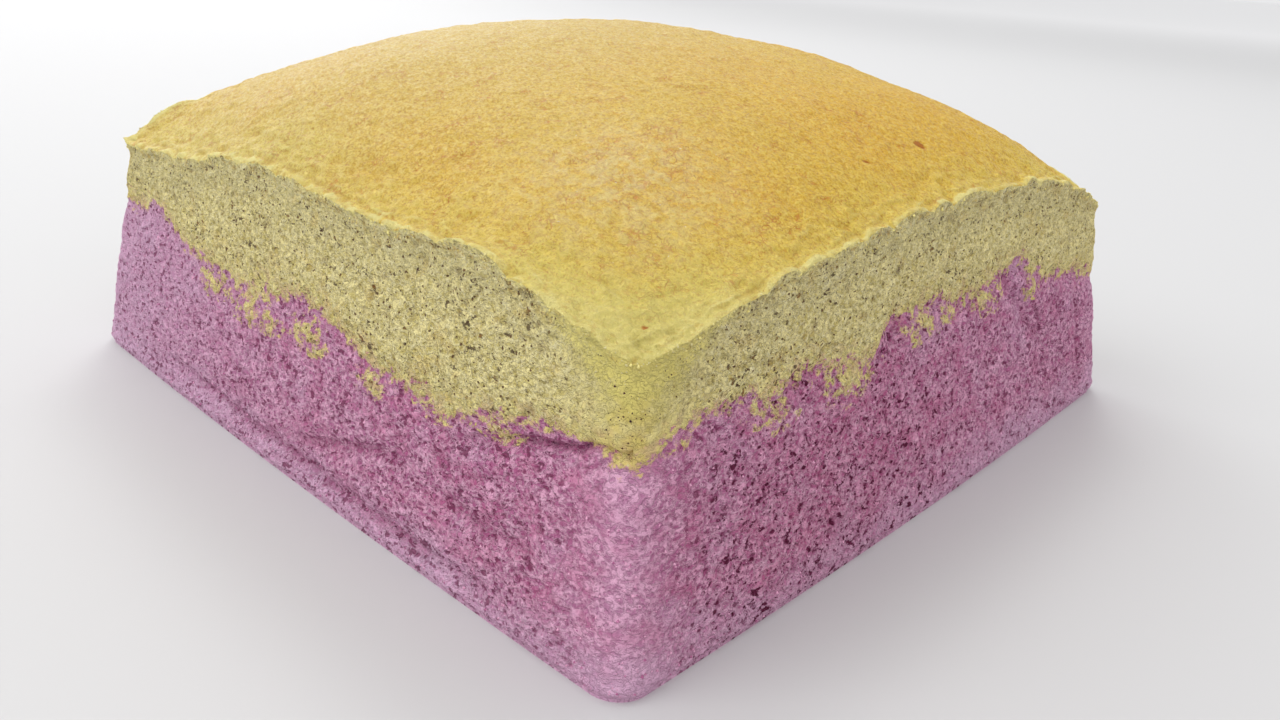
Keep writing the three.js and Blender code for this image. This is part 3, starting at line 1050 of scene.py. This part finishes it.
def crust_leather(s, from_edge):
    """Gold skin with a fine grain, cracks and wrinkles, with painted highlight on their tops,
    painted shade in their hollows and painted haze on the left; gives its relief back.
    """
    middle = s.ramp(s.plus(from_edge, s.times(s.noise(16), 20)), 7, 27)
    s.colour = s.mix(middle, CRUST_PALE, CRUST_GOLD)
    s.tint(CRUST_AMBER, s.fact("baked"), 0.6)
    s.tint(CRUST_AMBER, s.ramp(s.noise(34), 0.46, 0.66, 0, 0.3))
    leather = s.noise(1, 5, 0.75, s.warped(s.place, 1.6, 0.5))
    # painted highlight on the grain's tops, paler where painted haze lies, and painted shade in its
    # hollows
    light = s.mix(s.fact("pale"), CRUST_PAINTED_HIGHLIGHT, CRUST_PAINTED_SHEEN)
    s.tint(light, s.ramp(leather, 0.5, 0.6, 0, 0.8))
    s.tint(CRUST_PAINTED_SHADE, s.ramp(leather, 0.49, 0.39, 0, 0.75))
    fine = s.noise(0.45, 3, 0.7)
    s.tint(light, s.ramp(fine, 0.53, 0.62, 0, 0.75))
    s.tint(CRUST_PAINTED_SHADE, s.ramp(fine, 0.46, 0.36, 0, 0.8))
    cracks = s.most(s.ridges(2.4, 0.024), s.ridges(4.4, 0.018))
    # the painted sheen's spot also gets more cracks
    open_skin = s.plus(s.noise(6, 3), s.times(s.fact("gloss"), 0.07))
    cracks = s.times(cracks, s.ramp(open_skin, 0.54, 0.64))
    s.tint(CRACK, cracks, 0.8)
    # painted highlight on the wrinkles' tops and painted shade in their valleys
    s.tint(light, s.fact("wrinkle", 0.05, 0.35, 0, 0.5))
    s.tint(CRUST_PAINTED_SHADE, s.fact("wrinkle", -0.1, -0.4, 0, 0.25))
    # painted haze: a pale veil of sheen over the left of the crust
    s.tint(CRUST_PAINTED_SHEEN, s.fact("pale"), 0.45)
    return s.minus(s.plus(leather, s.times(fine, 0.3)), s.times(cracks, 0.15))


def crust_painted_sheen(s):
    """A painted sheen with painted glints, and tiny holes."""
    s.tint(CRUST_PAINTED_SHEEN, s.fact("gloss"), s.ramp(s.noise(2.6, 3, 0.6), 0.4, 0.62, 0.15, 0.5))
    s.tint(PAINTED_GLINT, s.pores(1.5, 0.07, 0.13, 0.3), s.fact("gloss", 0.1, 0.7), 0.8)
    s.tint(SPLIT, s.hollows(0.9, 0.35, 0.03), 0.3)


def crust_rim(s, inside, from_edge):
    """Paler skin, stains and folds near the rim, with painted shade in the folds' valleys."""
    rim = s.minus(from_edge, s.times(s.noise(4, 3), 6))
    s.tint(LIP, s.ramp(rim, -14, 2, 0.75, 0))
    s.tint(SKIN, s.fact("front_corner"), s.ramp(s.noise(2.2, 4, 0.7), 0.42, 0.58, 0.5, 1), 0.8)
    s.tint(OCHRE, s.ramp(s.noise(1.5, 4, 0.7), 0.54, 0.6), s.ramp(inside, 0.5, 7, 1, 0), 0.4)
    s.tint(LIP, s.ridges(3, 0.02), s.ramp(inside, 1, 10, 1, 0), 0.3)
    folded = s.times(s.fact("crest", 0.05, 0.25), s.ramp(inside, 1.2, 3.5, 0.9, 0.25))
    folded = s.times(folded, s.fact("front_corner", 0.2, 1, 1, 0.3))
    s.tint(LIP, folded, s.ramp(s.noise(4.5, 3), 0.42, 0.56, 0.4, 1))
    # painted shade in the valleys of the folds behind the lip
    s.tint(STAIN_AND_FOLD_SHADE, s.fact("crest", -0.03, -0.25, 0, 0.35))


def crust_material(name):
    """Baked skin: gold in the middle, yellow towards the rim, with a soft uneven gloss."""
    s = Shader(name)
    inside = s.fact("inside_rim")
    from_edge = s.minus(inside, s.times(s.fact("front_corner"), 14))
    relief = crust_leather(s, from_edge)
    # painted sheen and painted glints
    crust_painted_sheen(s)
    crust_rim(s, inside, from_edge)
    s.tint(SPLIT, s.fact("pit", 0.1, 0.9, 0, 0.5), s.ramp(inside, 1.5, 4))
    s.tint(SPLIT, s.fact("split", 0.2, 0.6, 0, 0.9))
    roughness = s.ramp(s.noise(0.8, 3), 0.38, 0.6, 0.34, 0.68)
    return s.finish(roughness, CRUST_SPECULAR, relief, 1.15)


def loose_material(name, dark, light):
    """Plain crumb for loose pieces, each of its own shade."""
    s = Shader(name)
    tone = s.plus(s.fact("shade"), s.minus(s.noise(0.5), 0.5))
    s.colour = s.mix(s.ramp(tone, 0, 1), dark, light)
    return s.finish(CRUMB_ROUGHNESS, CRUMB_SPECULAR, s.noise(0.3, 2, 0.7), 0.15)


# ---- loose crumbs and flecks

WALL_CRUMBS = 10000
WALL_CRUMB_RADII = (0.14, 0.38)
RIM_CRUMBS = 1200
RIM_CRUMB_RADII = (0.12, 0.34)
FLECKS = 2400
FLECK_RADII = (0.1, 0.24)
FLECK_FLATNESS = 0.5
SUNK = 0.35  # share of a loose piece's radius that its middle lies below the surface
# An eight-faced lump of radius 1.
LUMP_CORNERS = np.concatenate([np.eye(3), -np.eye(3)])
LUMP_FACES = [
    (0, 1, 2), (0, 5, 1), (0, 2, 4), (0, 4, 5), (3, 2, 1), (3, 1, 5), (3, 4, 2), (3, 5, 4),
]


def strew(name, slot, colours, places, normals, radii, draw, flatness=1.0):
    """One mesh of many ragged lumps, each partly sunk in the surface under it."""
    count, size = len(places), len(LUMP_CORNERS)
    radius = mix(radii[0], radii[1], draw.random(count) ** 2)[:, None, None]
    ragged = 1 + 0.3 * draw.uniform(-1, 1, (count, size, 1))
    stretch = draw.uniform(0.75, 1.35, (count, 1, 3))
    points = LUMP_CORNERS * ragged * stretch * radius
    lift = np.sum(points * normals[:, None], -1, keepdims=True)
    points = points - normals[:, None] * lift * (1 - flatness) + places[:, None]
    points = inside_box(points - normals[:, None] * radius * SUNK * flatness).reshape(-1, 3)
    faces = (np.array(LUMP_FACES) + size * np.arange(count)[:, None, None]).reshape(-1, 3)
    facts = {"shade": np.repeat(draw.random(count), size)}
    mesh = new_mesh(name, points, faces.ravel(), np.full(len(faces), 3), facts)
    finish_piece(new_object(name, mesh), loose_material(name, *colours), slot)


def any_column(draw, count):
    """Random columns of the wall, evenly spread over its length."""
    widths = np.diff(side_places())
    column = draw.choice(WALL_CELLS, count, p=widths / widths.sum())
    return column + WALL_CELLS * draw.integers(0, len(SIDES), count)


def pick(surface, draw, count, lowest_row):
    """Random points of the wall: their places, normals and facts."""
    wall, wall_normals, facts = surface
    row = draw.uniform(lowest_row, len(wall) - 1.001, count)
    column = any_column(draw, count)
    low, part = row.astype(int), (row % 1)[:, None]
    places = mix(wall[low, column], wall[low + 1, column], part)
    return places, wall_normals[low, column], facts_at(facts, (low, column))


def wall_crumbs(surface, draw):
    places, normals, found = pick(surface, draw, WALL_CRUMBS, 2)
    above = found["layer_line"] + draw.normal(0, 0.8, len(places))
    wanted = (found["below_rim"] > 0.4) & (found["pore"] < 0.2)
    for colour, chosen, colours in (
        ("purple", wanted & (above < 0), (PURPLE_DEEP, PURPLE_LIGHT)),
        ("yellow", wanted & (above >= 0), (YELLOW_DEEP, YELLOW_GREY)),
    ):
        strewn = places[chosen], normals[chosen], WALL_CRUMB_RADII, draw
        strew(f"{colour}_crumbs", f"{colour}_crumb", colours, *strewn)


def rim_crumbs(surface, draw):
    wall, wall_normals, facts = surface
    column = any_column(draw, RIM_CRUMBS)
    row = len(wall) - 1 - (draw.random(RIM_CRUMBS) ** 2 * 9).astype(int)
    places = wall[row, column] + draw.normal(0, 0.15, (RIM_CRUMBS, 3))
    strewn = places, wall_normals[row, column], RIM_CRUMB_RADII, draw
    strew("rim_crumbs", "golden_crust", (YELLOW_GREY, LIP), *strewn)


def dark_flecks(surface, draw):
    """Flecks in clusters on the yellow crumb."""
    places, normals, found = pick(surface, draw, 6 * FLECKS, LOWER_ROWS)
    cluster = noises(places, (1, 7, 101), (0.6, 2.5, 102))
    cluster = cluster + draw.normal(0, 0.25, len(places))
    chosen = (cluster > 0.3) & (found["layer_line"] > 1.5) & (found["below_rim"] > 1)
    chosen = np.flatnonzero(chosen)[:FLECKS]
    strewn = places[chosen], normals[chosen], FLECK_RADII, draw
    strew("dark_flecks", "dark_fleck", (FLECK, YELLOW_PORE_SHADE_AND_FLECK), *strewn, FLECK_FLATNESS)


# ---- the cake

def join_at_rim(wall, wall_normals, crust, crust_normals):
    """Gives the crust's edge the wall's topmost points and both the same normals."""
    edge = ring_of(CRUST_CELLS + 1)
    points, normals = crust.reshape(-1, 3), crust_normals.reshape(-1, 3)
    points[edge] = wall[-1, ::2]
    normals[edge] = unit(normals[edge] + wall_normals[-1, ::2])
    wall_normals[-1, ::2] = normals[edge]
    for grid in (wall, wall_normals):
        grid[-1, 1::2] = (grid[-1, ::2] + np.roll(grid[-1, ::2], -1, 0)) / 2
    wall_normals[-1] = unit(wall_normals[-1])
    return points, normals, edge


def crust_piece(points, normals, facts, edge, crust_plan, edge_plan):
    """The baked crust, closed underneath by a smooth surface a little below the rim."""
    skin = Shell()
    index = skin.add_points(points.reshape(*crust_plan.shape[:2], 3), facts)
    skin.add_grid(index, crust_plan, CRUST_AREA)
    inner, middle = (
        skin.add_points(surface_points(*place, under_rim(*place)))
        for place in (edge_plan.T * INNER_RING, CENTRE)
    )
    ring, inner = np.append(edge, edge[0])[::-1], np.append(inner, inner[0])[::-1]
    plan = np.concatenate([edge_plan, edge_plan[:1]])[::-1]
    inner_plan = plan * INNER_RING
    skin.add_grid(np.stack([ring, inner]), np.stack([plan, inner_plan]), UNDER_AREA)
    skin.add_fan(inner, middle[0], inner_plan, (0, 0), UNDER_AREA)
    return skin.build("baked_crust", normals)


def cake():
    plain, u, v, waist, rim = wall_grid()
    wall, facts = wall_detail(plain, u, v, waist, rim)
    wall_normals = grid_normals(wall, wrap=True)
    points, crust_u, crust_v = crust_grid()
    crust, crust_facts = crust_detail(points, crust_u, crust_v)
    crust_normals = grid_normals(crust, wrap=False)
    points, normals, edge = join_at_rim(wall, wall_normals, crust, crust_normals)

    layers = [
        ("purple", "lower_sponge", slice(0, LOWER_ROWS + 1), waist_height, None),
        ("yellow", "upper_sponge", slice(LOWER_ROWS, None), under_rim, INNER_RING),
    ]
    crumb = {colour: crumb_material(f"{colour}_crumb") for colour, *rest in layers}
    for k, side in enumerate(SIDES):
        for colour, node, rows, roof_height, roof_ring in layers:
            shape = wall[rows], wall_normals[rows], facts_at(facts, rows)
            piece = wedge(f"{colour}_sponge_{side}", *shape, k, roof_height, roof_ring)
            finish_piece(piece, crumb[colour], f"{colour}_crumb", node)

    plans = np.stack([crust_u, crust_v], -1), np.stack([u[0, ::2], v[0, ::2]], -1)
    piece = crust_piece(points, normals, crust_facts, edge, *plans)
    finish_piece(piece, crust_material("golden_crust"), "golden_crust", "upper_sponge")

    draw = np.random.default_rng(5)
    for strew_pieces in (wall_crumbs, rim_crumbs, dark_flecks):
        strew_pieces((wall, wall_normals, facts), draw)


# ---- camera, light and floor

CAMERA_PLACE = (0.1776, -0.1880, 0.10735)
CAMERA_YAW = 0.7284
CAMERA_PITCH = 0.3892
CAMERA_ROLL = 0.0731
FOCAL_LENGTH_PIXELS = 985.0
PICTURE_WIDTH_PIXELS = 1280
SENSOR_MM = 36

LIGHT_TARGET = Vector((0, 0, 0.05))
SKY = (0.82, 0.82, 0.83, 1)
FLOOR_REACH = 60  # metres
FLOOR_FADE = (1.6, 4.0)  # metres from the cake, over which the floor turns from its darker near colour to its lighter far colour: painted shade near the lamps and painted light beyond their reach
FLOOR_NEAR = (0.6, 0.6, 0.6, 1)
FLOOR_FAR = (0.93, 0.93, 0.93, 1)
FLOOR_ROUGHNESS = 0.7


def add_camera():
    data = bpy.data.cameras.new("camera")
    data.sensor_width = SENSOR_MM
    data.lens = FOCAL_LENGTH_PIXELS / PICTURE_WIDTH_PIXELS * SENSOR_MM
    camera = new_object("camera", data)
    turn = Matrix.Rotation(CAMERA_YAW, 4, "Z") @ Matrix.Rotation(np.pi / 2 - CAMERA_PITCH, 4, "X")
    roll = Matrix.Rotation(CAMERA_ROLL, 4, "Z")
    camera.matrix_world = Matrix.Translation(CAMERA_PLACE) @ turn @ roll
    bpy.context.scene.camera = camera


def add_area_light(name, place, size, power, colour=(1, 1, 1)):
    """A square lamp that faces the middle of the cake: metres and watts."""
    data = bpy.data.lights.new(name, "AREA")
    data.size = size
    data.energy = power
    data.color = colour
    light = new_object(name, data)
    light.location = place
    light.rotation_euler = (LIGHT_TARGET - Vector(place)).to_track_quat("-Z", "Y").to_euler()


def add_floor():
    mesh = bpy.data.meshes.new("floor")
    corners = [(-1, -1, 0), (1, -1, 0), (1, 1, 0), (-1, 1, 0)]
    mesh.from_pydata([Vector(corner) * FLOOR_REACH for corner in corners], [], [(0, 1, 2, 3)])
    floor = new_object("floor", mesh)
    s = Shader("floor")
    away = s.node("VectorMath", {0: s.true_place}, operation="LENGTH")["Value"]
    colour = s.mix(s.ramp(away, *FLOOR_FADE), FLOOR_NEAR, FLOOR_FAR)
    surface = s.tree.nodes["Principled BSDF"]
    s.put(surface.inputs["Base Color"], colour)
    surface.inputs["Roughness"].default_value = FLOOR_ROUGHNESS
    mesh.materials.append(s.material)


def add_studio():
    world = bpy.data.worlds.new("studio")
    world.use_nodes = True
    background = world.node_tree.nodes["Background"]
    background.inputs["Color"].default_value = SKY
    background.inputs["Strength"].default_value = 1.0
    bpy.context.scene.world = world
    add_area_light("key", (-0.9, -1.9, 1.9), 1.8, 30)
    add_area_light("back", (-2.0, 0.6, 1.15), 1.8, 15)
    add_area_light("sheen", (-0.85, 1.0, 1.8), 0.6, 9.5)
    add_area_light("fill", (2.2, -0.2, 1.0), 1.2, 7, (1, 0.9, 0.92))
    bpy.context.scene.view_settings.view_transform = "Standard"


cake()
add_camera()
add_floor()
add_studio()
